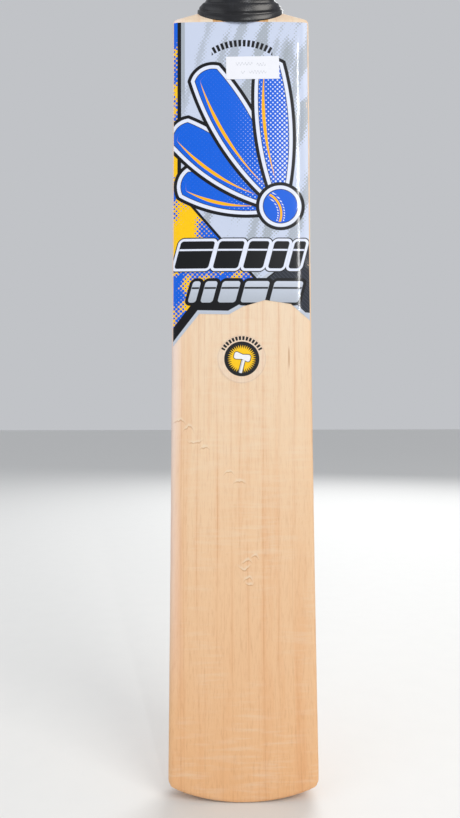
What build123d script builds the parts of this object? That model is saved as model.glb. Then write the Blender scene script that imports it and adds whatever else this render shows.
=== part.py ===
from build123d import *
import os
from math import atan2, degrees, sqrt

# Cricket bat, in millimetres. It stands on its toe with the handle straight up +Z. The playing
# face looks towards -Y, and left and right are those of someone looking at the face.

# Overall
overall_length = 862.0
blade_length = 577.0      # lowest point of the toe to the top edge of the playing face
blade_width = 106.5

# Playing face: bowed lengthwise, toe and shoulders forward, and slightly crowned across
face_front = 17.0         # face in front of the handle's axis, at the shoulders
bow_depth = 8.5           # how far the middle lies behind a straight edge from toe to top
crown_height = 1.2        # how far the middle stands in front of the two long edges

# Back of the blade at stations up the blade: share of its length, edge and spine thickness
back_stations = [
    (-0.06, 20.0, 26.0),
    (0.03, 27.0, 39.0),
    (0.17, 36.0, 57.0),
    (0.33, 39.0, 62.0),
    (0.52, 35.5, 55.0),
    (0.71, 29.5, 45.0),
    (0.88, 24.0, 37.5),
    (0.97, 21.0, 35.0),
    (1.10, 19.0, 33.0),
]
edge_round = 5.0          # back corners of the two long edges
face_round = 2.5          # front corners of the two long edges
edge_overlap = 0.15       # how far the rounds of the long edges run out past the sides
spine_round = 0.20        # half-width of the rounded spine, as a share of the half blade
toe_drop = 10.0           # how far the toe's middle hangs below its corners
toe_corner = 6.0

# Shoulders and neck
shoulder_rise = 18.5      # ridge beside the neck, above the top edge of the face
shoulder_corner = 4.0     # outer corners of the shoulders
shoulder_drop = 17.0      # how far the ridge falls from the neck to the outer corner
neck_length = 36.5        # ridge to where the handle becomes round
neck_half = 31.9          # half-width of the neck at the ridge
neck_depth = 16.8         # half-depth of the neck at the ridge
neck_foot = 10.0          # how far the neck runs down inside the blade
flare_sections = 7

# Handle, its bindings and its springs
cane_radius = 15.9
cane_step = 8.0           # half-width of the middle column of canes
twine_wall = 0.7
grip_wall = 1.4
grip_lip = 1.0            # grip past the end of the canes
spring_wall = 1.0
spring_pitch = 7.6        # from one rubber spring to the next
spring_reach = 75.0       # springs below the top edge of the face, inside the splice

# V splice
splice_depth = 128.0      # its tip below the top edge of the face
splice_tip = 3.0          # half-width at the tip
splice_mouth = 24.0       # half-width where it leaves the shoulders

# Labels
film = 0.2                # printed film on the face
paper = 0.12              # paper ticket on the film
label_margin = 1.4        # bare wood each side of the face label
label_top_gap = 0.8       # bare wood above it
badge_film_radius = 18.5
badge_drop = 263.5        # its centre below the top edge of the face
label_left = 255.0        # the face label's lower left corner below the top edge of the face
label_right = 235.0       # its lower right corner
label_foot = [            # its stepped lower border between them, across and below the top edge
    (-32.0, 229.0),
    (-9.5, 229.5),
    (1.0, 223.5),
    (18.0, 218.5),
    (37.5, 221.5),
]
ticket_width = 41.0
ticket_height = 17.8
ticket_drop = 37.2        # its middle below the top edge of the face
ticket_offset = 9.2       # its middle to the right of the centre line
ticket_corner = 0.8

half = blade_width / 2
bow_radius = blade_length**2 / (8 * bow_depth)
crown_radius = (half**2 + crown_height**2) / (2 * crown_height)
cane_top = overall_length - grip_lip
ridge = blade_length + shoulder_rise
neck_top = ridge + neck_length
grip_radius = cane_radius + twine_wall + grip_wall
through = 150.0           # half-depth of shapes that are cut right through the bat
spare = 10.0              # how far the shapes that trim others run past them
bow_axis = Axis((0, -face_front - bow_radius, blade_length), (1, 0, 0))


def face_y(z):
    """Y of the face's centre line at height z."""
    return -face_front - bow_radius + sqrt(bow_radius**2 - (blade_length - z) ** 2)


def prism(outline):
    """An outline of (x, z) in the front view, carried right through the bat."""
    return extrude(Plane.XZ * outline, through, both=True)


def along_face(section):
    """A section drawn at the top of the face, carried down and up along the bow."""
    below = degrees(atan2(blade_length + 2 * spare, bow_radius))
    above = degrees(atan2(4 * spare, bow_radius))
    whole = revolve(Plane.XY.offset(blade_length) * section, bow_axis, below + above)
    return whole.rotate(bow_axis, -below)


def crown(limit, offset=0.0):
    """The face's gentle crown from -limit to limit, the offset in front of the wood."""
    radius = crown_radius + offset
    middle = crown_radius - face_front
    end = middle - sqrt(radius**2 - limit**2)
    return ThreePointArc((-limit, end), (0, middle - radius), (limit, end))


def film_layer(inner, outer):
    """The thin space between two offsets in front of the playing face."""
    limit = half + spare
    back, front = crown(limit, inner), crown(limit, outer)
    sides = [Line(back @ 1, front @ 1), Line(front @ 0, back @ 0)]
    return along_face(make_face([back, front] + sides))


def front_block():
    """Everything behind the playing face, with the two long edges rounded."""
    limit = half + edge_overlap
    front = crown(limit)
    deep = 2 * blade_width
    walls = Polyline(front @ 1, (limit, deep), (-limit, deep), front @ 0)
    section = make_face([front] + walls.edges())
    corners = section.vertices().filter_by(lambda v: v.Y < deep / 2)
    return along_face(fillet(corners, face_round))


def back_section(share, edge, spine):
    """The blade's full section at one station, open-ended towards the front."""
    z = share * blade_length
    front = face_y(z) - 6 * spare
    corner = face_y(z) + edge
    top = face_y(z) + spine
    wall = half + edge_overlap
    side = [
        (wall, corner - edge_round),
        (wall, corner - 0.4 * edge_round),
        (wall - 0.6 * edge_round, corner),
        (wall - edge_round, corner + 0.1 * edge_round),
    ]
    sweep = [
        side[3],
        (0.70 * half, corner + 0.12 * (spine - edge)),
        (0.42 * half, corner + 0.55 * (spine - edge)),
        (spine_round * half, top),
        (0, top),
    ]
    mirrored = [[(-x, y) for x, y in reversed(curve)] for curve in (side, sweep)]
    edges = [
        Line((-wall, front), (wall, front)),
        Line((wall, front), side[0]),
        Bezier(*side),
        Bezier(*sweep),
        Bezier(*mirrored[1]),
        Bezier(*mirrored[0]),
        Line(mirrored[0][-1], (-wall, front)),
    ]
    return Plane.XY.offset(z) * make_face(edges)


def blade_outline():
    """Toe, sides and shoulders in the front view."""
    low = toe_drop
    high = ridge - shoulder_drop
    inner = neck_half - 0.4 * spare
    lift = ridge + 0.2 * spare
    edges = [
        ThreePointArc((-half, low), (0, 0), (half, low)),
        Line((half, low), (half, high)),
        Line((half, high), (neck_half, ridge)),
        Line((neck_half, ridge), (inner, lift)),
        Line((inner, lift), (-inner, lift)),
        Line((-inner, lift), (-neck_half, ridge)),
        Line((-neck_half, ridge), (-half, high)),
        Line((-half, high), (-half, low)),
    ]
    outline = make_face(edges)
    corners = outline.vertices().filter_by(lambda v: abs(v.X) > half - 0.01)
    outline = fillet(corners.filter_by(lambda v: v.Y < blade_length / 2), toe_corner)
    corners = outline.vertices().filter_by(lambda v: v.Y > high - 0.01 and abs(v.X) > half - 0.01)
    return fillet(corners, shoulder_corner)


def roof():
    """The space above the two slopes that run from the shoulders' ridge to face and back."""
    reach = face_front + 4 * spare
    drop = shoulder_rise * reach / face_front
    top = overall_length + 5 * spare
    profile = Polyline((-reach, ridge - drop), (0, ridge), (reach, ridge - drop),
                       (reach, top), (-reach, top), close=True)
    return extrude(Plane.YZ * make_face(profile), through, both=True)


def flare(cover, lowest):
    """The neck's flared core with a cover of even thickness, from the round handle down."""
    spread = neck_half - cane_radius
    arc = (neck_length**2 + spread**2) / (2 * spread)
    sections = []
    for i in range(flare_sections + 1):
        drop = neck_length * i / flare_sections
        wide = cane_radius + arc - sqrt(arc**2 - drop**2)
        deep = cane_radius + (neck_depth - cane_radius) * drop / neck_length
        sections.append(Plane.XY.offset(neck_top - drop) * Ellipse(wide + cover, deep + cover))
    return loft(sections) + extrude(sections[-1], lowest - ridge, dir=(0, 0, 1))


def make_blank():
    """Blade, neck and handle as one shaped outer form, before the splice parts them."""
    body = loft([back_section(*station) for station in back_stations])
    body = body & front_block() & prism(blade_outline())
    body = body - roof()
    return body + flare(0, blade_length - neck_foot) + rod(cane_radius, neck_top, cane_top)


def make_splice():
    """The V that the handle's canes fill, open upwards past the end of the handle."""
    tip = blade_length - splice_depth
    spread = (splice_mouth - splice_tip) / (ridge - tip)
    top = overall_length + 2 * spare
    wide = splice_tip + spread * (top - tip)
    outline = Polyline((-splice_tip, tip), (splice_tip, tip), (wide, top), (-wide, top), close=True)
    return prism(make_face(outline))


def slab(x, y, z):
    """A box between pairs of limits."""
    centre = Pos(sum(x) / 2, sum(y) / 2, sum(z) / 2)
    return centre * Box(x[1] - x[0], y[1] - y[0], z[1] - z[0])


def make_canes(core):
    """Four layers of three canes each, with a rubber spring between each two layers."""
    far = blade_width
    span = (0, overall_length + spare)
    spring_foot = blade_length - spring_reach
    pieces = {}
    for name, y in (("front", -spring_pitch), ("middle", 0.0), ("back", spring_pitch)):
        gap = slab((-far, far), (y - spring_wall / 2, y + spring_wall / 2), (spring_foot, span[1]))
        pieces["spring_" + name] = core & gap
        core = core - gap
    columns = [("left", -far, -cane_step), ("middle", -cane_step, cane_step), ("right", cane_step, far)]
    layers = [("front", -far, -spring_pitch), ("second", -spring_pitch, 0),
              ("third", 0, spring_pitch), ("back", spring_pitch, far)]
    for layer, y0, y1 in layers:
        for column, x0, x1 in columns:
            pieces[f"cane_{layer}_{column}"] = core & slab((x0, x1), (y0, y1), span)
    return pieces


def rod(radius, low, high):
    """A round bar on the handle's axis."""
    return Pos(0, 0, low) * extrude(Circle(radius), high - low)


def label_outline():
    """The face label's outline: straight top and sides, and a stepped lower border."""
    side = half - label_margin
    below = [(-side, label_left)] + label_foot + [(side, label_right)]
    corners = [(x, blade_length - drop) for x, drop in below]
    top = blade_length - label_top_gap
    return make_face(Polyline(*corners, (side, top), (-side, top), close=True))


def make_labels():
    """Printed film on the face, the round badge below it and the paper ticket on top."""
    badge = Pos(0, blade_length - badge_drop) * Circle(badge_film_radius)
    ticket = RectangleRounded(ticket_width, ticket_height, ticket_corner)
    ticket = Pos(ticket_offset, blade_length - ticket_drop) * ticket
    return {
        "face_label": film_layer(0, film) & prism(label_outline()),
        "badge_label": film_layer(0, film) & prism(badge),
        "ticket_label": film_layer(film, film + paper) & prism(ticket),
    }


def make_grip(blank, labels):
    """The rubber sleeve with a flared skirt that sits on the shoulders."""
    sleeve = rod(grip_radius, neck_top, overall_length)
    sleeve = sleeve - rod(grip_radius - grip_wall, neck_top, overall_length)
    skirt = flare(twine_wall + grip_wall, blade_length - neck_foot) & roof()
    return (skirt - blank - labels["face_label"]) + sleeve


blank = make_blank()
splice = make_splice()
labels = make_labels()
pieces = {"blade": blank - splice}
pieces.update(make_canes(blank & splice))
twine = rod(cane_radius + twine_wall, neck_top, cane_top)
pieces["twine_binding"] = twine - rod(cane_radius, neck_top, cane_top)
pieces["grip"] = make_grip(blank, labels)
pieces.update(labels)

bounds = Compound([solid for piece in pieces.values() for solid in piece.solids()]).bounding_box()
to_origin = Pos(0, -bounds.center().Y, -bounds.min.Z)
print("handle axis", round(-bounds.center().Y, 4), "behind the origin, grip radius", grip_radius)
print("straight grip from", neck_top, "to", overall_length)

os.makedirs("parts", exist_ok=True)
for name, piece in pieces.items():
    export_step(to_origin * piece, f"parts/{name}.step")
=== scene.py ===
import bpy
import bmesh
from math import cos, hypot, pi, radians, sin, sqrt
from mathutils import Matrix, Vector
from mathutils.bvhtree import BVHTree


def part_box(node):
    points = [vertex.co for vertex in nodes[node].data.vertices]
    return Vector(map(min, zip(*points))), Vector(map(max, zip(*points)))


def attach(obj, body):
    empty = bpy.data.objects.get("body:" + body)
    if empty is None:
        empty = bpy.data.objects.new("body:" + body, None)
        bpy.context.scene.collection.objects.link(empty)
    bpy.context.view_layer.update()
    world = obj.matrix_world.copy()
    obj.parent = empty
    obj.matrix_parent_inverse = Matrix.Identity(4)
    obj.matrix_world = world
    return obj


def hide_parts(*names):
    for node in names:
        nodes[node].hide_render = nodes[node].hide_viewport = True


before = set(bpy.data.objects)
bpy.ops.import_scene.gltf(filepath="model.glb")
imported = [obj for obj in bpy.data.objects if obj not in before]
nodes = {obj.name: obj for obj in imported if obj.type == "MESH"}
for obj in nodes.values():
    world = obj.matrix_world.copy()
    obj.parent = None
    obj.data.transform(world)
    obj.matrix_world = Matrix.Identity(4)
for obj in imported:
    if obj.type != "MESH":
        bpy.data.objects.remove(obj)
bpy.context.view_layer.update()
mm = 0.001

labelLow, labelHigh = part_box("face_label")
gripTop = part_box("grip")[1].z
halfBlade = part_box("blade")[1].x
twineLow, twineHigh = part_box("twine_binding")
axisY = (twineLow.y + twineHigh.y) / 2    # the handle's axis
faceTop = labelHigh.z + 0.8 * mm          # the wood shows above the label


def newPiece(name, bm, material, smoothAngle=35):
    mesh = bpy.data.meshes.new(name)
    bm.to_mesh(mesh)
    bm.free()
    piece = bpy.data.objects.new(name, mesh)
    bpy.context.scene.collection.objects.link(piece)
    mesh.materials.append(material)
    mesh.shade_smooth()
    mesh.set_sharp_from_angle(angle=radians(smoothAngle))
    return piece


def settleModifiers(piece, smoothAngle=35):
    # puts what the modifiers make into the mesh itself
    graph = bpy.context.evaluated_depsgraph_get()
    done = bpy.data.meshes.new_from_object(piece.evaluated_get(graph))
    piece.modifiers.clear()
    piece.data = done
    done.shade_smooth()
    done.set_sharp_from_angle(angle=radians(smoothAngle))


def smoothStep(value, low, high):
    share = min(1.0, max(0.0, (value - low) / (high - low)))
    return share * share * (3 - 2 * share)


def linear(red, green, blue):
    # a paint colour given as 0 to 255 on a screen
    parts = [part / 255 for part in (red, green, blue)]
    return tuple(p / 12.92 if p <= 0.04045 else ((p + 0.055) / 1.055) ** 2.4 for p in parts) + (1.0,)


class Field:
    # a number that varies over a surface, built out of Math nodes
    def __init__(self, tree, out):
        self.tree, self.out = tree, out

    def calc(self, kind, *others, clamp=False):
        node = self.tree.nodes.new("ShaderNodeMath")
        node.operation = kind
        node.use_clamp = clamp
        for slot, value in zip(node.inputs, (self,) + others):
            if isinstance(value, Field):
                self.tree.links.new(value.out, slot)
            else:
                slot.default_value = value
        return Field(self.tree, node.outputs[0])

    def __add__(self, other):
        return self.calc("ADD", other)

    def __sub__(self, other):
        return self.calc("SUBTRACT", other)

    def __mul__(self, other):
        return self.calc("MULTIPLY", other)

    def __neg__(self):
        return self.calc("MULTIPLY", -1.0)

    def __abs__(self):
        return self.calc("ABSOLUTE")

    def union(self, other):
        return self.calc("MINIMUM", other)

    def within(self, other):
        return self.calc("MAXIMUM", other)

    def ramp(self, low, high):
        # 0 at low, 1 at high, straight between, either way round
        return (self - low).calc("DIVIDE", high - low, clamp=True)

    def inside(self, soft=0.25):
        # 1 inside a shape whose distance this is, 0 outside
        return self.ramp(soft / 2, -soft / 2)

    def band(self, low, high, soft=0.25):
        return (self - high).within(-(self - low)).inside(soft)

    def far(self, other):
        return (self * self + other * other).calc("SQRT")


class Paint:
    # one material being painted, layer over layer
    def __init__(self, name):
        self.material = bpy.data.materials.new(name)
        self.material.use_nodes = True
        self.tree = self.material.node_tree
        self.shader = self.tree.nodes["Principled BSDF"]
        self.place = self.add("ShaderNodeTexCoord").outputs["Object"]
        parts = self.add("ShaderNodeSeparateXYZ")
        self.link(self.place, parts.inputs[0])
        self.x, self.y, self.z = [Field(self.tree, parts.outputs[i]) * 1000.0 for i in range(3)]
        self.colour = None

    def add(self, kind):
        return self.tree.nodes.new(kind)

    def link(self, source, target):
        self.tree.links.new(source, target)

    def noise(self, stretch, detail=3.0, rough=0.5, shift=0.0):
        # cloudy values about 0.5; stretch is the number of clouds in a metre along x, y and z
        mapping = self.add("ShaderNodeMapping")
        mapping.inputs["Scale"].default_value = stretch
        mapping.inputs["Location"].default_value = (shift, shift * 0.7, shift * 1.3)
        self.link(self.place, mapping.inputs["Vector"])
        cloud = self.add("ShaderNodeTexNoise")
        cloud.inputs["Scale"].default_value = 1.0
        cloud.inputs["Detail"].default_value = detail
        cloud.inputs["Roughness"].default_value = rough
        self.link(mapping.outputs[0], cloud.inputs["Vector"])
        return Field(self.tree, cloud.outputs["Fac"])

    def cover(self, mask, over):
        # lays a colour over what is there so far, where the mask is 1
        mix = self.add("ShaderNodeMix")
        mix.data_type = "RGBA"
        for slot, value in ((mix.inputs[6], self.colour), (mix.inputs[7], over)):
            if isinstance(value, tuple):
                slot.default_value = value
            else:
                self.link(value, slot)
        if isinstance(mask, Field):
            self.link(mask.out, mix.inputs[0])
        else:
            mix.inputs[0].default_value = mask
        self.colour = mix.outputs[2]

    def base(self, colour):
        self.colour = colour

    def finish(self, rough, bump=None, height=0.0, **sockets):
        if isinstance(self.colour, tuple):
            self.shader.inputs["Base Color"].default_value = self.colour
        else:
            self.link(self.colour, self.shader.inputs["Base Color"])
        if isinstance(rough, Field):
            self.link(rough.out, self.shader.inputs["Roughness"])
        else:
            self.shader.inputs["Roughness"].default_value = rough
        for name, value in sockets.items():
            self.shader.inputs[name.replace("_", " ")].default_value = value
        if bump is not None:
            node = self.add("ShaderNodeBump")
            node.inputs["Strength"].default_value = 1.0
            node.inputs["Distance"].default_value = height
            self.link(bump.out, node.inputs["Height"])
            self.link(node.outputs[0], self.shader.inputs["Normal"])
        return self.material


willowLook = {
    "pale": linear(237, 218, 193),
    "cream": linear(237, 205, 169),
    "honey": linear(231, 176, 122),
    "grain": linear(182, 112, 62),
    "rust": linear(222, 160, 108),
    "blush": linear(240, 222, 222),
    "mark": linear(176, 116, 66),
    "grainPitch": 12.4,
    "grainAt": 2.8,
    "roughness": 0.46,
}
# small curls and flecks on the face: across, up, half-width, rise of the curl
willowFlecks = [
    (-47, 267, 5.0, 3.0),
    (-40, 262, 4.5, 3.5),
    (-35, 250, 6.0, -2.5),
    (-28, 247, 4.0, 2.0),
    (-10, 229, 4.2, 2.6),
    (-2, 222, 5.0, 2.2),
    (3, 165, 4.2, 3.2),
    (1.5, 158, 4.6, -2.6),
    (4, 152, 3.6, 2.2),
    (9, 168, 3.0, 1.8),
    (5, 147, 3.2, -2.0),
]
# one long dark fleck: across, up, half-width, half-height
leafFleck = (35.6, 315, 0.7, 8.0)


def paintWillow(paint):
    # paler towards the shoulders and warmer towards the toe; returns the height of the wood's surface
    look = willowLook
    x, z = paint.x, paint.z
    paint.base(look["pale"])
    paint.cover(z.ramp(430, 230), look["cream"])
    slow = paint.noise((14, 14, 3.5), detail=2)
    paint.cover((z + slow * 120.0 - x * 0.25).ramp(300, 30), look["honey"])
    # broad warm streaks
    streak = paint.noise((75, 40, 2.6), detail=3, rough=0.6, shift=12)
    paint.cover(streak.ramp(0.50, 0.72) * (z.ramp(520, 60) * 0.35 + 0.2), look["rust"])
    ripple = paint.noise((70, 70, 11), detail=2, shift=5) - 0.5
    relief = paintGrain(paint, ripple)
    paintFigure(paint)
    edgeTone = paint.noise((30, 30, 8), detail=3, shift=50) * 10.0
    paint.cover((x + edgeTone).ramp(-38, -46) * z.ramp(60, 210) * 0.55, look["blush"])
    paint.cover((x - edgeTone).ramp(40, 50) * z.ramp(100, 400) * 0.35, look["honey"])
    return paintFlecks(paint, relief, ripple)


def paintGrain(paint, ripple):
    # the year lines up the blade, its fibres and its pores
    look = willowLook
    x, z = paint.x, paint.z
    wander = paint.noise((18, 18, 2.4), detail=3, shift=3) - 0.5
    uneven = paint.noise((34, 20, 0.8), detail=1, shift=31) - 0.5
    across = x + paint.y * 0.06 + wander * 7.0 + uneven * 11.0 + ripple * 1.3
    line = (across - look["grainAt"]).calc("PINGPONG", look["grainPitch"] / 2)
    breaks = paint.noise((45, 45, 6), detail=2, shift=9)
    paint.cover(line.ramp(0.55, 0.0) * (breaks.ramp(0.36, 0.66) * 0.42), look["grain"])
    paint.cover(line.ramp(2.6, 0.0) * (breaks.ramp(0.40, 0.64) * 0.22 + 0.04), look["rust"])
    second = (across * 1.31 + wander * 6.0 + 4.0).calc("PINGPONG", 9.1)
    paint.cover(second.ramp(0.5, 0.0) * breaks.ramp(0.58, 0.44) * 0.20, look["grain"])
    fibre = paint.noise((950, 950, 14), detail=4, rough=0.65)
    paint.cover(fibre.ramp(0.50, 0.76) * (z.ramp(500, 0) * 0.16 + 0.14), look["grain"])
    pores = paint.noise((2600, 2600, 110), detail=2, shift=4)
    paint.cover(pores.ramp(0.60, 0.80) * 0.20, look["grain"])
    return fibre * 0.7 + pores * 0.3


def paintFigure(paint):
    # faint cross figure where the light catches the wood's rays
    look = willowLook
    figure = paint.noise((38, 38, 330), detail=3, shift=2)
    patch = paint.noise((20, 20, 9), detail=2, shift=44)
    paint.cover(figure.ramp(0.48, 0.70) * patch.ramp(0.46, 0.62) * 0.30, look["pale"])
    paint.cover(figure.ramp(0.46, 0.30) * patch.ramp(0.50, 0.66) * 0.12, look["rust"])


def paintFlecks(paint, relief, ripple):
    # curls where the grain swirls round a bud, each a dark line of its own colour with a painted highlight
    # along its upper side; they also dent the surface
    look = willowLook
    x, z = paint.x, paint.z
    smear = paint.noise((260, 260, 130), detail=2, shift=21) - 0.5
    for middle, up, wide, rise in willowFlecks:
        side = (x - middle) * (1 / wide)
        curl = z - up + side * side * rise + smear * 5.0
        fade = abs(side).ramp(1.1, 0.3)
        paint.cover(abs(curl).ramp(0.75, 0.05) * fade * 0.55, look["mark"])
        # the pale band just above each curl is a painted highlight on the dent's upper edge
        paint.cover((curl - 1.1).ramp(1.6, 0.2) * (curl - 0.2).ramp(-0.2, 0.5) * fade * 0.60, look["pale"])
        relief = relief - abs(curl).ramp(1.2, 0.0) * fade * 0.5
    middle, up, wide, high = leafFleck
    spot = ((x - middle) * (1 / wide)).far((z - up) * (1 / high)) + ripple
    paint.cover(spot.ramp(1.1, 0.6) * 0.5, look["mark"])
    return relief


def makeWillow():
    paint = Paint("oiledWillow")
    relief = paintWillow(paint)
    rough = paint.noise((120, 120, 14), detail=3) * 0.16 + (willowLook["roughness"] - 0.08)
    return paint.finish(rough, relief, 0.12 * mm, Specular_IOR_Level=0.4)


caneLook = {"pitch": 5.3, "straw": linear(222, 172, 108), "vein": linear(140, 88, 42)}


def makeCane():
    paint = Paint("manauCane")
    paint.base(caneLook["straw"])
    slow = paint.noise((60, 60, 6), detail=3)
    paint.cover(slow.ramp(0.35, 0.75) * 0.35, caneLook["vein"])
    veins = paint.noise((2200, 2200, 24), detail=2, shift=2)
    paint.cover(veins.ramp(0.56, 0.72) * 0.55, caneLook["vein"])
    half = caneLook["pitch"] / 2
    strip = (paint.x + half).calc("PINGPONG", half)
    paint.cover(strip.ramp(0.35, 0.10) * 0.35, caneLook["vein"])
    return paint.finish(veins * 0.2 + 0.42, veins, 0.10 * mm)


springLook = {"rubber": linear(58, 50, 46), "dust": linear(110, 100, 92)}


def makeSpringRubber():
    paint = Paint("springRubber")
    paint.base(springLook["rubber"])
    dust = paint.noise((700, 700, 300), detail=3)
    paint.cover(dust.ramp(0.5, 0.8) * 0.25, springLook["dust"])
    return paint.finish(0.72, dust, 0.05 * mm)


twineLook = {
    "pitch": 0.9,
    "linen": linear(222, 208, 176),
    # darker brown for the painted shade in the grooves between the turns
    "gap": linear(120, 100, 70),
    "fuzz": linear(180, 160, 122),
}


def makeTwine():
    paint = Paint("linenTwine")
    paint.base(twineLook["linen"])
    wind = paint.z.calc("PINGPONG", twineLook["pitch"] / 2)
    # darker lines between the turns of twine: painted shade in the grooves
    paint.cover(wind.ramp(0.12, 0.0) * 0.6, twineLook["gap"])
    fuzz = paint.noise((1500, 1500, 900), detail=3)
    paint.cover(fuzz.ramp(0.5, 0.8) * 0.3, twineLook["fuzz"])
    return paint.finish(0.8, wind, 0.25 * mm)


gripLook = {
    "black": linear(13, 13, 18),
    "yellow": linear(236, 190, 10),
    "grime": linear(170, 128, 20),
    "scuff": linear(62, 66, 78),
    "bodyFrom": 606.6,      # where the body's colour starts at the side
    "bodyDip": 0.68,        # how fast that falls towards the front and the back
}


def makeGripRubber():
    paint = Paint("gripRubber")
    paint.base(gripLook["yellow"])
    grime = paint.noise((90, 90, 60), detail=4)
    paint.cover(grime.ramp(0.45, 0.8) * 0.18, gripLook["grime"])
    depth = abs(paint.y - axisY / mm)
    edge = paint.z + depth * gripLook["bodyDip"] - gripLook["bodyFrom"]
    paint.cover(edge.inside(0.4), gripLook["black"])
    paint.cover(edge.ramp(0.0, -0.5) * grime.ramp(0.5, 0.8) * 0.25, gripLook["scuff"])
    pimple = paint.noise((1600, 1600, 1600), detail=2)
    rough = edge.ramp(0.0, 1.5) * 0.26 + 0.20 + grime * 0.12
    return paint.finish(rough, pimple, 0.04 * mm)


gripShape = {
    "segments": 96,
    "cover": 2.1,           # rubber and twine over the neck
    "neckTop": 632.0,
    "neckLength": 36.5,
    "neckHalf": 31.9,
    "neckDepth": 16.8,
    "cane": 15.9,
    "wall": 1.35,
    "ribsFrom": 630.0,
    "ribsShort": 4.0,       # of the top
    "ribPitch": 3.4,
    "ribDepth": 0.55,
}
# the skirt's ledges from the rim up: height at the side, fall towards front and back, stands out
skirtLedges = [
    (593.9, 1.00, -0.25),
    (594.2, 1.00, 0.15),
    (594.9, 0.99, 0.40),
    (597.4, 0.94, 0.40),
    (598.0, 0.93, 0.15),
    (598.3, 0.925, -0.45),
    (599.0, 0.91, -0.50),
    (599.5, 0.90, -0.05),
    (600.2, 0.88, 0.20),
    (603.0, 0.80, 0.20),
    (603.6, 0.79, 0.05),
    (604.0, 0.78, -0.35),
    (605.0, 0.75, -0.40),
    (605.6, 0.73, 0.00),
    (606.4, 0.70, 0.10),
    (609.0, 0.58, 0.05),
    (612.5, 0.40, 0.0),
    (616.5, 0.22, 0.0),
    (621.0, 0.08, 0.0),
    (626.0, 0.02, 0.0),
]


def neckSize(up):
    # half-width and half-depth of the grip's outside at a height
    shape = gripShape
    drop = min(shape["neckLength"], max(0.0, shape["neckTop"] - up))
    spread = shape["neckHalf"] - shape["cane"]
    arc = (shape["neckLength"] ** 2 + spread ** 2) / (2 * spread)
    wide = shape["cane"] + arc - sqrt(arc ** 2 - drop ** 2)
    deep = shape["cane"] + (shape["neckDepth"] - shape["cane"]) * drop / shape["neckLength"]
    return wide + shape["cover"], deep + shape["cover"]


def makeGrip(material):
    shape = gripShape
    rings = list(skirtLedges)
    up, top = shape["ribsFrom"], gripTop / mm
    while up < top - shape["ribsShort"]:
        for rise, out in ((0.0, 0.0), (1.6, 0.0), (2.0, -1.0), (2.9, -1.0)):
            rings.append((up + rise, 0.0, out * shape["ribDepth"]))
        up += shape["ribPitch"]
    rings += [(top - 1.2, 0.0, 0.0), (top - 0.4, 0.0, -0.1), (top, 0.0, -0.5), (top, 0.0, -1.0)]
    bm = bmesh.new()
    bmesh.ops.create_circle(bm, segments=shape["segments"], radius=1.0)
    loop, ring = list(bm.edges), list(bm.verts)
    unitRing = [vert.co.copy() for vert in ring]
    for up, fall, out in rings:
        if up != rings[0][0] or out != rings[0][2]:
            grown = bmesh.ops.extrude_edge_only(bm, edges=loop)["geom"]
            loop = [part for part in grown if isinstance(part, bmesh.types.BMEdge)]
            ring = [part for part in grown if isinstance(part, bmesh.types.BMVert)]
        for vert, unit in zip(ring, unitRing):
            height = up - fall * abs(unit.y) * neckSize(up)[1]
            wide, deep = neckSize(height)
            vert.co = Vector((unit.x * (wide + out), unit.y * (deep + out) + axisY / mm, height)) * mm
    bmesh.ops.recalc_face_normals(bm, faces=bm.faces)
    grip = newPiece("gripSleeve", bm, material, 50)
    wall = grip.modifiers.new("wall", "SOLIDIFY")
    wall.thickness = shape["wall"] * mm
    wall.offset = -1
    settleModifiers(grip, 50)
    return grip


bladeShape = {
    "voxel": 1.6,
    "smoothSteps": 9,
    "faceFront": 17.0,         # the face in front of the handle's axis, at its top
    "bowRadius": 4896.0,
    "crownRadius": 1182.3,
    "toeDrop": 10.0,           # the toe's middle below its corners
    "toeRim": 2.5,             # round of the toe's front rim
    "trust": 1.2,              # a point further than this from the true face isn't moved
    "spliceTip": 3.0,
    "spliceSpread": 0.14334,   # how much wider each side of the V gets per height
    "spliceTop": 700.0,
    "cutTop": 629.0,           # the neck is cut off here, inside the grip
}


def faceY(x, z):
    # the playing face: bowed lengthwise and crowned across
    shape = bladeShape
    drop = faceTop / mm - z
    bow = shape["bowRadius"] - sqrt(shape["bowRadius"] ** 2 - drop ** 2)
    crown = shape["crownRadius"] - sqrt(shape["crownRadius"] ** 2 - x ** 2)
    return axisY / mm - shape["faceFront"] - bow + crown


def makeBlade(material):
    shape = bladeShape
    whole = bmesh.new()
    for name, node in nodes.items():
        if not name.startswith(("blade", "cane", "spring")):
            continue
        part = bmesh.new()
        part.from_mesh(node.data)
        bmesh.ops.remove_doubles(part, verts=part.verts, dist=0.002 * mm)
        geom = list(part.verts) + list(part.edges) + list(part.faces)
        cut = bmesh.ops.bisect_plane(part, geom=geom, plane_co=(0, 0, shape["cutTop"] * mm),
                                     plane_no=(0, 0, 1), clear_outer=True)
        rim = [piece for piece in cut["geom_cut"] if isinstance(piece, bmesh.types.BMEdge)]
        if rim:
            bmesh.ops.holes_fill(part, edges=rim)
        mesh = bpy.data.meshes.new("carried")
        part.to_mesh(mesh)
        part.free()
        whole.from_mesh(mesh)
        bpy.data.meshes.remove(mesh)
    blade = newPiece("willowBlade", whole, material)
    skin = blade.modifiers.new("skin", "REMESH")
    skin.mode = "VOXEL"
    skin.voxel_size = shape["voxel"] * mm
    soft = blade.modifiers.new("soft", "SMOOTH")
    soft.factor = 0.5
    soft.iterations = shape["smoothSteps"]
    settleModifiers(blade)
    trueFace(blade)
    trueToe(blade)
    return blade


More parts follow.
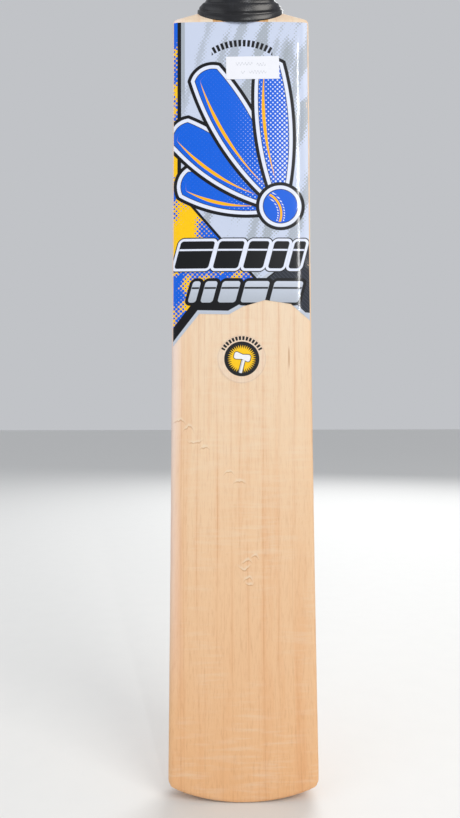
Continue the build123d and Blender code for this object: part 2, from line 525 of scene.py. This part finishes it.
def trueFace(blade):
    # planes the playing face to its true curve and leaves the rounded rims
    shape = bladeShape
    half, top = halfBlade / mm, faceTop / mm
    facing = [vert.normal.y < -0.9 for vert in blade.data.vertices]
    for vert, front in zip(blade.data.vertices, facing):
        x, y, z = [part / mm for part in vert.co]
        away = faceY(x, z) - y
        if not front or z > top - 1 or abs(away) > shape["trust"]:
            continue
        edge = min(half - abs(x), z - shape["toeDrop"] * (x / half) ** 2, top - z)
        vert.co.y += away * mm * smoothStep(edge, 2.0, 5.0)


def trueToe(blade):
    # gives the toe its arc and an even round along its front rim, which the voxels leave stepped
    drop, rim = bladeShape["toeDrop"], bladeShape["toeRim"]
    half = halfBlade / mm
    radius = (half ** 2 + drop ** 2) / (2 * drop)
    below = [vert.normal.z < -0.7 for vert in blade.data.vertices]
    for vert, down in zip(blade.data.vertices, below):
        x, y, z = [part / mm for part in vert.co]
        inside = half - abs(x)
        if inside < 6 or z > 2 * drop:
            continue
        up = z - radius + sqrt(radius ** 2 - x ** 2)
        deep = y - faceY(x, z)
        newUp, newDeep = up, deep
        if up < rim and deep < rim:
            reach = rim / hypot(rim - up, rim - deep)
            newUp, newDeep = rim - (rim - up) * reach, rim - (rim - deep) * reach
        elif down and up < 1.5:
            newUp = 0
        elif deep < bladeShape["trust"] and up < 3 * rim:
            newDeep = 0
        part = smoothStep(inside, 6, 10)
        vert.co.z += (newUp - up) * part * mm
        vert.co.y += (newDeep - deep) * part * mm


def cutSplice(blade):
    # opens the V again, so the canes' own edges show in it
    shape = bladeShape
    tip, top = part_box("cane_front_middle")[0].z, shape["spliceTop"] * mm
    narrow = shape["spliceTip"] * mm
    wide = narrow + shape["spliceSpread"] * (top - tip)
    front, through = -100 * mm, 250 * mm      # well past the blade on both sides
    bm = bmesh.new()
    corners = [(-narrow, tip), (narrow, tip), (wide, top), (-wide, top)]
    face = bm.faces.new([bm.verts.new((x, front, z)) for x, z in corners])
    pushed = bmesh.ops.extrude_face_region(bm, geom=[face])["geom"]
    moved = [part for part in pushed if isinstance(part, bmesh.types.BMVert)]
    bmesh.ops.translate(bm, vec=(0, through, 0), verts=moved)
    bmesh.ops.recalc_face_normals(bm, faces=bm.faces)
    wedge = newPiece("wedge", bm, blade.data.materials[0])
    cut = blade.modifiers.new("cut", "BOOLEAN")
    cut.operation = "DIFFERENCE"
    cut.object = wedge
    cut.solver = "EXACT"
    settleModifiers(blade)
    bpy.data.objects.remove(wedge)


def bladeTree(blade):
    return BVHTree.FromObject(blade, bpy.context.evaluated_depsgraph_get())


def layOnFace(bm, tree, lift):
    # drops every point onto the face and lifts it by a film's thickness
    for vert in bm.verts:
        hit = tree.ray_cast(Vector((vert.co.x, -0.3, vert.co.z)), Vector((0, 1, 0)))[0]
        if hit is None:
            vert.co.y = faceY(vert.co.x / mm, vert.co.z / mm) * mm - lift
        else:
            vert.co.y = hit.y - lift


def faceForward(bm):
    # a sheet's front is towards -Y
    bmesh.ops.recalc_face_normals(bm, faces=bm.faces)
    wrong = [face for face in bm.faces if face.normal.y > 0]
    if wrong:
        bmesh.ops.reverse_faces(bm, faces=wrong)


def thickFilm(piece, thickness):
    wall = piece.modifiers.new("wall", "SOLIDIFY")
    wall.thickness = thickness
    wall.offset = -1
    settleModifiers(piece)


def gridSheet(low, high, step):
    bm = bmesh.new()
    wide, tall = high[0] - low[0], high[1] - low[1]
    across, up = max(2, round(wide / step)), max(2, round(tall / step))
    bmesh.ops.create_grid(bm, x_segments=across, y_segments=up, size=0.5)
    turn = Matrix.Rotation(radians(90), 4, "X")
    bmesh.ops.scale(bm, vec=(wide, tall, 1), verts=bm.verts)
    bmesh.ops.transform(bm, matrix=turn, verts=bm.verts)
    centre = ((low[0] + high[0]) / 2, 0, (low[1] + high[1]) / 2)
    bmesh.ops.translate(bm, vec=centre, verts=bm.verts)
    return bm


def trimBelow(bm, corners):
    # cuts a sheet along the line through the corners and drops what hangs below it
    for (x0, z0), (x1, z1) in zip(corners, corners[1:]):
        geom = list(bm.verts) + list(bm.edges) + list(bm.faces)
        across = (Vector((x1 - x0, 0, z1 - z0))).cross(Vector((0, 1, 0)))
        bmesh.ops.bisect_plane(bm, geom=geom, plane_co=(x0, 0, z0), plane_no=across, dist=1e-7)
    gone = []
    for face in bm.faces:
        middle = face.calc_center_median()
        for (x0, z0), (x1, z1) in zip(corners, corners[1:]):
            if x0 <= middle.x <= x1:
                border = z0 + (z1 - z0) * (middle.x - x0) / (x1 - x0)
                if middle.z < border:
                    gone.append(face)
    bmesh.ops.delete(bm, geom=gone, context="FACES")
    bmesh.ops.dissolve_degenerate(bm, dist=1e-6, edges=bm.edges)


labelShape = {
    "lift": 0.24,
    "step": 2.6,
    "film": 0.2,
    # stepped lower border from left to right: across, below the label's top
    "foot": [(-51.9, 254.2), (-32.0, 228.2), (-9.5, 228.7), (1.0, 222.7),
             (18.0, 217.7), (37.5, 220.7), (51.9, 234.2)],
}


def makeFaceLabel(tree, material):
    top = labelHigh.z
    foot = [(x * mm, top - down * mm) for x, down in labelShape["foot"]]
    foot[0] = (labelLow.x - 1 * mm, foot[0][1])
    foot[-1] = (labelHigh.x + 1 * mm, foot[-1][1])
    bm = gridSheet((labelLow.x, labelLow.z), (labelHigh.x, top), labelShape["step"] * mm)
    trimBelow(bm, foot)
    layOnFace(bm, tree, labelShape["lift"] * mm)
    faceForward(bm)
    label = newPiece("faceLabel", bm, material)
    thickFilm(label, labelShape["film"] * mm)
    return label


badgeShape = {"radius": 18.5, "lift": 0.22, "film": 0.18, "rings": 8, "segments": 72}


def makeBadge(tree, material):
    low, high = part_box("badge_label")
    centre = (low + high) / 2
    shape = badgeShape
    bm = bmesh.new()
    start = Vector((centre.x, 0, centre.z))
    line = [bm.verts.new(start + Vector((shape["radius"] * mm * i / shape["rings"], 0, 0)))
            for i in range(shape["rings"] + 1)]
    edges = [bm.edges.new(pair) for pair in zip(line, line[1:])]
    bmesh.ops.spin(bm, geom=line + edges, cent=start, axis=(0, 1, 0), angle=2 * pi,
                   steps=shape["segments"], use_merge=True)
    bmesh.ops.remove_doubles(bm, verts=bm.verts, dist=0.01 * mm)
    layOnFace(bm, tree, shape["lift"] * mm)
    faceForward(bm)
    badge = newPiece("badgeFilm", bm, material)
    thickFilm(badge, shape["film"] * mm)
    return badge


ticketShape = {"lift": 0.42, "paper": 0.12, "turn": 0.9, "step": 2.0, "curl": 0.35, "curlFrom": 1.6}


def makeTicket(tree, material):
    low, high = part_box("ticket_label")
    shape = ticketShape
    bm = gridSheet((low.x, low.z), (high.x, high.z), shape["step"] * mm)
    centre = (low + high) / 2
    turn = Matrix.Rotation(radians(-shape["turn"]), 4, "Y")
    bmesh.ops.rotate(bm, cent=(centre.x, 0, centre.z), matrix=turn, verts=bm.verts)
    layOnFace(bm, tree, shape["lift"] * mm)
    for vert in bm.verts:
        # the corners lift a little
        across = abs(vert.co.x - centre.x) / (high.x - centre.x)
        up = abs(vert.co.z - centre.z) / (high.z - centre.z)
        vert.co.y -= max(0.0, across + up - shape["curlFrom"]) * shape["curl"] * mm
    faceForward(bm)
    ticket = newPiece("paperTicket", bm, material)
    thickFilm(ticket, shape["paper"] * mm)
    return ticket


# printed artwork is measured in mm across the bat and down from the label's top
inks = {
    "field": linear(200, 210, 232),
    "grey": linear(152, 160, 166),
    "blue": linear(0, 96, 222),
    "yellow": linear(252, 200, 0),
    "gold": linear(255, 184, 6),
    "white": linear(226, 232, 250),
    "pearl": linear(240, 240, 244),
    "gum": linear(196, 160, 120),
    "black": linear(6, 8, 14),
    "carbon": linear(30, 35, 46),
    "thread": linear(92, 100, 116),
    "silver": linear(190, 198, 212),
    "pencil": linear(96, 104, 128),
    "paper": linear(236, 238, 246),
    "fibre": linear(190, 194, 206),
}


def fromMiddle(paint, node):
    # mm across and down from the middle of a small label
    low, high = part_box(node)
    return paint.x - (low.x + high.x) / 2 / mm, -(paint.z - (low.z + high.z) / 2 / mm)


def disc(x, t, across, down, radius):
    return (x - across).far(t - down) - radius


def bar(x, t, across, down, halfWide, halfTall, corner=1.0, lean=0.0):
    # a rounded block; lean moves its top to the right
    side = abs(x - across + (t - down) * lean) - (halfWide - corner)
    end = abs(t - down) - (halfTall - corner)
    out = side.calc("MAXIMUM", 0.0).far(end.calc("MAXIMUM", 0.0))
    deep = side.within(end).calc("MINIMUM", 0.0)
    return out + deep - corner


def halfPlane(x, t, start, end):
    # below zero on the left of the way from start to end, with t growing downwards
    dx, dt = end[0] - start[0], end[1] - start[1]
    size = sqrt(dx * dx + dt * dt)
    return (x - start[0]) * (-dt / size) + (t - start[1]) * (dx / size)


def dots(x, t, pitch):
    # how far the nearest dot of a halftone screen is
    u = (x + t) * (1 / sqrt(2))
    v = (x - t) * (1 / sqrt(2))
    return u.calc("PINGPONG", pitch / 2).far(v.calc("PINGPONG", pitch / 2))


emblem = {
    "white": 3.2,
    "black": 5.8,
    "tip": 14.5,            # radius of a feather's end
    "ball": (30.0, 145.0, 13.0),
    # feathers of the wing: degrees left of upright, length, half-width, blunt end
    "feathers": [(76.0, 78.0, 12.5), (53.0, 100.0, 13.8), (29.0, 121.0, 13.8), (4.0, 112.0, 11.0)],
}


def feather(x, t, turn, length, half):
    # a leaf that grows from the ball, blunted at its far end; also says how far along it a point is
    across, down, _ = emblem["ball"]
    side, up = sin(radians(turn)), cos(radians(turn))
    along = (x - across) * -side + (t - down) * -up
    over = (x - across) * up + (t - down) * -side
    reach = length * 0.62
    bend = (reach * reach + half * half) / (2 * half)
    left = (along - reach).far(over - (bend - half)) - bend
    right = (along - reach).far(over + (bend - half)) - bend
    blunt = (along - (length - emblem["tip"])).calc("MAXIMUM", 0.0).far(over) - emblem["tip"]
    return left.within(right).within(blunt), along, over


def printEmblem(paint, x, t):
    # a ball with a wing
    screen = dots(x, t, 2.5)
    light = (x + t * 0.12).ramp(2, 46) * 0.85
    for turn, length, half in emblem["feathers"]:
        shape, along, over = feather(x, t, turn, length, half)
        paint.cover((shape - emblem["black"]).inside(), inks["black"])
        paint.cover((shape - emblem["white"]).inside(), inks["white"])
        paint.cover((shape - 0.5).inside(), inks["black"])
        paint.cover(shape.inside(), inks["blue"])
        paint.cover((screen - light).inside(0.3) * shape.inside(), inks["white"])
        taper = along.ramp(18, length * 0.55) * along.ramp(length - 3, length * 0.7)
        line = (abs(shape + 3.6) - taper * 1.25).within(over)
        paint.cover(line.inside() * taper.ramp(0.0, 0.2), inks["gold"])
    ball = disc(x, t, *emblem["ball"])
    across, down, radius = emblem["ball"]
    paint.cover((ball - emblem["black"]).inside(), inks["black"])
    paint.cover((ball - emblem["white"]).inside(), inks["white"])
    paint.cover((ball - 0.5).inside(), inks["black"])
    paint.cover(ball.inside(), inks["blue"])
    seam = disc(x, t, across - radius * 1.25, down + radius * 0.45, radius * 1.3)
    paint.cover((abs(seam) - 0.9).within(ball + 0.8).inside(), inks["gold"])
    stitches = (t - x * 0.4).calc("PINGPONG", 1.0).ramp(0.45, 0.55)
    paint.cover((abs(abs(seam) - 2.4) - 0.45).within(ball + 0.8).inside() * stitches, inks["white"])


# two rows of slanted speed bars: middle, half-height, outline, then each bar's middle and half-width
rowLook = {
    "lean": 0.27,
    "upper": (182.8, 10.6, 2.8, [(-35.6, 13.0), (-9.6, 9.6), (11.4, 7.6), (28.6, 5.8), (42.8, 4.4)]),
    "lower": (211.4, 8.2, 2.4, [(-35.8, 3.0), (-24.6, 4.6), (-9.4, 6.8), (10.4, 9.2), (34.2, 11.0)]),
}


def printRows(paint, x, t):
    for row, rim, fill in (("upper", "white", "black"), ("lower", "black", "silver")):
        middle, halfTall, edge, bars = rowLook[row]
        shape = None
        for across, half in bars:
            one = bar(x, t - middle, across, 0.0, half, halfTall, corner=2.2, lean=rowLook["lean"])
            shape = one if shape is None else shape.union(one)
        paint.cover((shape - edge).inside(), inks["black"])
        paint.cover((shape - edge + 0.8).inside(), inks[rim])
        paint.cover((shape - 0.5).inside(), inks[rim])
        paint.cover(shape.inside(), inks[fill])
        cut = t - (middle - halfTall * 0.36)
        if row == "lower":
            paint.cover(cut.ramp(-1.0, -8.0) * shape.inside() * 0.5, inks["white"])
            paint.cover(cut.ramp(2.0, 10.0) * shape.inside() * 0.35, inks["grey"])
        paint.cover(cut.band(-0.7, 0.7) * (shape + 0.2).inside(), inks[rim])


# grey streaks of the ground: middle, half-width, strength
streaks = [
    (-7.0, 2.6, 0.8), (20.5, 6.0, 1.0), (33.0, 1.6, 0.7), (45.0, 3.0, 0.9), (58.0, 6.0, 0.9),
    (2.0, 4.0, 0.8), (70.0, 7.0, 1.0), (90.0, 6.0, 0.9), (-24.0, 5.0, 0.6), (40.0, 2.0, 0.7),
]
cornerLook = {
    "strip": -48.4,                              # right side of the strip down the left
    "start": 133.0,                              # where the corner opens out of the strip
    "slope": ((-47.5, 133.5), (11.7, 202.5)),
    "pitch": 2.5,                                # of the dots where yellow and blue mix
    "line": 1.05,
}


def printGround(paint, x, t):
    # grey streaks that lean to the right and break up into dots
    cloud = paint.noise((42, 42, 30), detail=3, shift=6)
    screen = dots(x, t, 2.1)
    lean = x + t * 0.30
    grit = paint.noise((160, 160, 60), detail=2, shift=1) - 0.5
    for middle, half, strength in streaks:
        streak = (abs(lean - middle) - half) * 0.30 + grit * 1.6 + (cloud - 0.5) * -6.0 + 0.35
        size = (-streak).ramp(-1.0, 0.8) * 1.6
        paint.cover((screen - size + 0.3).inside(0.3) * (0.75 * strength), inks["grey"])


def printCorner(paint, x, t):
    # the yellow and blue corner, down the left side and across the foot
    look = cornerLook
    slope = halfPlane(x, t, *look["slope"])
    corner = (x - look["strip"]).union((-slope).within(-(t - look["start"])))
    paint.cover(corner.inside(), inks["yellow"])
    patch = paint.noise((34, 34, 24), detail=3, shift=8)
    grain = paint.noise((90, 90, 60), detail=2, shift=5) - 0.5
    ray = (x * 0.72 + t * 0.69 + grain * 6.0).calc("PINGPONG", 13.0)
    blotch = paint.noise((60, 60, 48), detail=3, shift=27)
    amount = patch.ramp(0.47, 0.60) * 0.9 + ray.ramp(5.0, 1.5) * (t - 165.0).ramp(0, 20) * 0.8 + grain * 0.8
    amount = amount + (x + t * 0.10).ramp(-24, -31) * (t - 185.0).ramp(0, 12) * 0.4
    amount = amount + blotch.ramp(0.50, 0.60) * (t - 165.0).ramp(0, -20) * 0.9
    paint.cover((dots(x, t, look["pitch"]) - amount * 1.5).inside(0.3) * corner.inside(), inks["blue"])
    paint.cover((abs(slope) - look["line"]).within(-(t - look["start"])).inside(), inks["black"])
    # black bar and grey stripe beside the left strip
    paint.cover((x + 47.5).band(-1.5, 1.4) * (t - 134.5).inside(), inks["black"])
    paint.cover((x + 44.6).band(-1.4, 1.3) * (t - 62.0).ramp(8, -8) * 0.75, inks["grey"])


def printWovenCorner(paint, x, t):
    # dark woven corner at the right of the foot
    rise = halfPlane(x, t, (8.0, 210.0), (53.0, 174.5))
    dark = (-rise).within(-(x - 8.0))
    paint.cover(dark.inside() * (t - 170).ramp(0, 1), inks["carbon"])
    weave = (x + t).calc("PINGPONG", 0.8).ramp(0.25, 0.55) * (x - t).calc("PINGPONG", 1.6).ramp(0.4, 1.2)
    paint.cover(dark.inside() * weave * 0.35, inks["thread"])
    right = -(x - 12.0)
    paint.cover((abs(rise + 1.6) - 1.1).within(right).inside(), inks["silver"])
    paint.cover((abs(rise) - 0.5).within(right).inside(), inks["black"])


def printFoot(paint, x, t):
    # black border and silver edge along the stepped foot
    foot = labelShape["foot"]
    left, flat, rise1, rise2, crest, right = [halfPlane(x, t, *ends) for ends in zip(foot, foot[1:])]
    border = left.union(flat.within(rise1.union(rise2).union(crest).union(right)))
    paint.cover((border + 9.2).ramp(-0.15, 0.15) * (x - 6).ramp(4, -4), inks["black"])
    paint.cover((border + 3.2).ramp(-0.12, 0.12), inks["black"])
    paint.cover((border + 2.7).ramp(-0.12, 0.12), inks["silver"])


def printArc(paint, x, t):
    # small marks on an arc over the emblem
    middle, radius = 1.0, 45.0
    down = 17.0 + radius
    arch = (x - middle).far(t - down)
    angle = (x - middle).calc("ARCTAN2", -(t - down)) * 47.0
    dash = angle.calc("PINGPONG", 1.8).ramp(0.55, 0.8)
    ends = (abs(x - middle) - 23.5).inside() * (t - 40.0).inside()
    paint.cover(arch.band(radius - 2.6, radius + 2.6) * dash * ends, inks["black"])


def makeLabelPrint():
    paint = Paint("printedFilm")
    x = paint.x
    t = -(paint.z - labelHigh.z / mm)
    paint.base(inks["field"])
    printGround(paint, x, t)
    printCorner(paint, x, t)
    printWovenCorner(paint, x, t)
    printFoot(paint, x, t)
    printRows(paint, x, t)
    printArc(paint, x, t)
    printEmblem(paint, x, t)
    dust = paint.noise((900, 900, 900), detail=2, shift=3)
    wave = paint.noise((26, 26, 12), detail=2, shift=15)
    rough = dust * 0.08 + 0.30
    return paint.finish(rough, wave + dust * 0.006, 0.5 * mm,
                        Specular_IOR_Level=0.2, Coat_Weight=0.2, Coat_Roughness=0.04)


badgeLook = {
    "film": 18.0,
    "disc": 13.2,
    "ring": 11.6,           # inner radius of the black ring
    "ray": 7.6,             # where the rays start
    "rayLength": 3.2,
    "rays": 38,
    "arc": (14.3, 17.3),    # the marks on their arc: inner and outer radius
    "arcEnd": 1.12,         # half of the arc's angle, radians
    "malletTilt": 14,
}


def makeBadgePrint():
    paint = Paint("badgePrint")
    relief = paintWillow(paint)
    x, t = fromMiddle(paint, "badge_label")
    look = badgeLook
    away = x.far(t)
    turn = x.calc("ARCTAN2", -t)
    paint.cover((away - look["film"]).band(-0.35, 0.2) * 0.35, inks["gum"])
    paint.cover(0.08, inks["white"])
    # short marks on an arc over the disc
    dash = (turn * 16.2).calc("PINGPONG", 1.35).ramp(0.35, 0.55)
    paint.cover(away.band(*look["arc"]) * dash * (abs(turn) - look["arcEnd"]).inside(0.02), inks["black"])
    disc = away - look["disc"]
    paint.cover(disc.inside(), inks["black"])
    rays = turn.calc("PINGPONG", pi / look["rays"]) * (look["rays"] / pi)
    paint.cover((away - (rays * look["rayLength"] + look["ray"])).inside(), inks["yellow"])
    # a plain mallet
    tilt = radians(look["malletTilt"])
    u, v = x * cos(tilt) + t * sin(tilt), t * cos(tilt) - x * sin(tilt)
    handle = bar(u, v, 1.4, 5.6, 1.2, 5.0, corner=0.5)
    waist = abs(u) * 0.22 - 0.5
    head = bar(u, v, 0.0, -1.6, 6.2, 2.6, corner=1.6).within(abs(v + 1.6) - waist - 2.2)
    mallet = handle.union(head)
    paint.cover((mallet - 0.55).inside(), inks["black"])
    paint.cover(mallet.inside(), inks["pearl"])
    paint.cover(handle.within(u - 1.2).inside() * 0.45, inks["grey"])
    paint.cover(disc.within(-(away - look["ring"])).inside(), inks["black"])
    rough = paint.noise((300, 300, 300), detail=2) * 0.1 + 0.26
    return paint.finish(rough, relief, 0.02 * mm,
                        Specular_IOR_Level=0.35, Coat_Weight=0.25, Coat_Roughness=0.06)


# rows of pencil loops that spell nothing: across, down, half-length, pitch
pencilLoops = [(-6.5, -3.0, 6.5, 1.25), (6.6, -2.6, 3.6, 1.1), (-7.5, 3.6, 1.4, 1.4), (4.0, 3.4, 6.6, 1.15)]


def makePaper():
    paint = Paint("ticketPaper")
    paint.base(inks["paper"])
    fibre = paint.noise((1200, 1200, 1200), detail=4)
    paint.cover(fibre.ramp(0.5, 0.8) * 0.12, inks["fibre"])
    x, t = fromMiddle(paint, "ticket_label")
    hand = paint.noise((900, 900, 200), detail=1, shift=7) - 0.5
    for across, down, half, pitch in pencilLoops:
        loop = (x * (pi / pitch)).calc("SINE") * 0.95 + hand * 1.6
        stroke = abs(t - down - loop) - 0.16
        paint.cover(stroke.inside(0.3) * (abs(x - across) - half).inside() * 0.75, inks["pencil"])
    return paint.finish(0.62, fibre, 0.05 * mm)


print("materials")
willow = makeWillow()
finishes = {"cane": makeCane(), "spring": makeSpringRubber(), "twine": makeTwine()}
for name, node in nodes.items():
    for kind, material in finishes.items():
        if name.startswith(kind):
            node.data.materials.clear()
            node.data.materials.append(material)

print("blade")
blade = makeBlade(willow)
faceTree = bladeTree(blade)

print("labels")
faceLabel = makeFaceLabel(faceTree, makeLabelPrint())
badge = makeBadge(faceTree, makeBadgePrint())
ticket = makeTicket(faceTree, makePaper())

print("splice")
cutSplice(blade)

print("grip")
grip = makeGrip(makeGripRubber())

for piece, slotName, node in (
    (blade, "willow", "blade"),
    (faceLabel, "label_film", "face_label"),
    (badge, "label_film", "badge_label"),
    (ticket, "ticket_paper", "ticket_label"),
    (grip, "grip_rubber", "grip"),
):
    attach(piece, "root")
    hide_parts(node)
    print(piece.name, len(piece.data.polygons), "faces")


stageLook = {
    "floor": linear(226, 226, 224),
    "speck": linear(200, 200, 200),
    "floorHalf": 30,
    "sky": (0.86, 0.88, 0.92, 1.0),
    "skyStrength": 0.62,
}
# place, aim, width, height, watts, colour
lamps = {
    "key": ((1.3, -1.5, 1.7), (0, 0, 0.4), 1.2, 1.2, 25, (1.0, 0.96, 0.90)),
    "fill": ((-1.6, -1.2, 0.9), (0, 0, 0.35), 1.6, 1.6, 6, (0.94, 0.97, 1.0)),
    "back": ((0.6, 1.8, 1.6), (0, 0, 0.4), 1.4, 1.4, 30, (1, 1, 1)),
    "glare": ((0.31, -1.37, 1.06), (0.043, 0, 0.45), 0.012, 0.66, 2.4, (1, 1, 1)),
}
cameraLook = {
    "aside": -0.009466,
    "inFront": 0.485166,    # of the handle's axis
    "height": 0.264121,
    "tilt": 91.4465,
    "roll": 0.1356,
    "pan": -0.0601,
    "lens": 27.02,
}


def makeFloor():
    paint = Paint("paleFloor")
    paint.base(stageLook["floor"])
    speck = paint.noise((40, 40, 40), detail=3)
    paint.cover(speck.ramp(0.4, 0.8) * 0.06, stageLook["speck"])
    bm = bmesh.new()
    bmesh.ops.create_grid(bm, x_segments=2, y_segments=2, size=stageLook["floorHalf"])
    floor = newPiece("floor", bm, paint.finish(0.6))


def areaLight(name, place, aim, wide, tall, watts, colour):
    light = bpy.data.lights.new(name, "AREA")
    light.shape = "RECTANGLE"
    light.size, light.size_y = wide, tall
    light.energy = watts
    light.color = colour
    lamp = bpy.data.objects.new(name, light)
    lamp.location = place
    lamp.rotation_euler = (Vector(aim) - Vector(place)).to_track_quat("-Z", "Y").to_euler()
    bpy.context.scene.collection.objects.link(lamp)


def lightStage():
    world = bpy.data.worlds.new("softSky")
    world.use_nodes = True
    sky = world.node_tree.nodes["Background"]
    sky.inputs[0].default_value = stageLook["sky"]
    sky.inputs[1].default_value = stageLook["skyStrength"]
    bpy.context.scene.world = world
    for name, lamp in lamps.items():
        areaLight(name, *lamp)


def placeCamera():
    lens = bpy.data.cameras.new("camera")
    lens.sensor_width = 36.0
    lens.lens = cameraLook["lens"]
    lens.clip_start = 0.01
    camera = bpy.data.objects.new("camera", lens)
    camera.location = (cameraLook["aside"], axisY - cameraLook["inFront"], cameraLook["height"])
    camera.rotation_euler = [radians(cameraLook[turn]) for turn in ("tilt", "roll", "pan")]
    bpy.context.scene.collection.objects.link(camera)
    bpy.context.scene.camera = camera


print("stage")
makeFloor()
lightStage()
placeCamera()
bpy.context.scene.view_settings.view_transform = "Standard"
